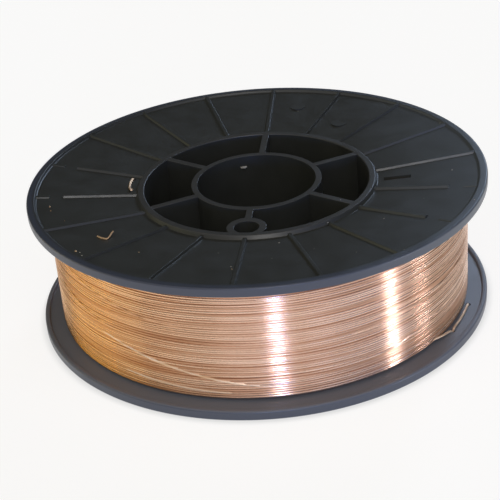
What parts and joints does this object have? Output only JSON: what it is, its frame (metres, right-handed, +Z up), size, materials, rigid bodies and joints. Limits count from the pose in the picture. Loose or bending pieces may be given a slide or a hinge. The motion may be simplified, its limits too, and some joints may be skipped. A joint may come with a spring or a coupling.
{
  "type": "welding wire spool",
  "caption": "Full spool of copper-coated steel welding wire: a black plastic spool with dished, radially ribbed flanges, a spoked hub with a bore and a driving hole, and its wound wire.",
  "frame": {"origin": "centre of the bottom rim, on the bore axis, where the spool rests on the floor", "axes": "+Z up along the bore axis, -Y from the axis to the driving hole"},
  "size_m": [0.2, 0.2, 0.06],
  "materials": {
    "black_plastic": "satin moulded, with light scuffs",
    "coppered_wire": "bright drawn, thinly coated with copper"
  },
  "bodies": {
    "root": {"spool": "black_plastic", "wire": "coppered_wire"}
  },
  "joints": []
}
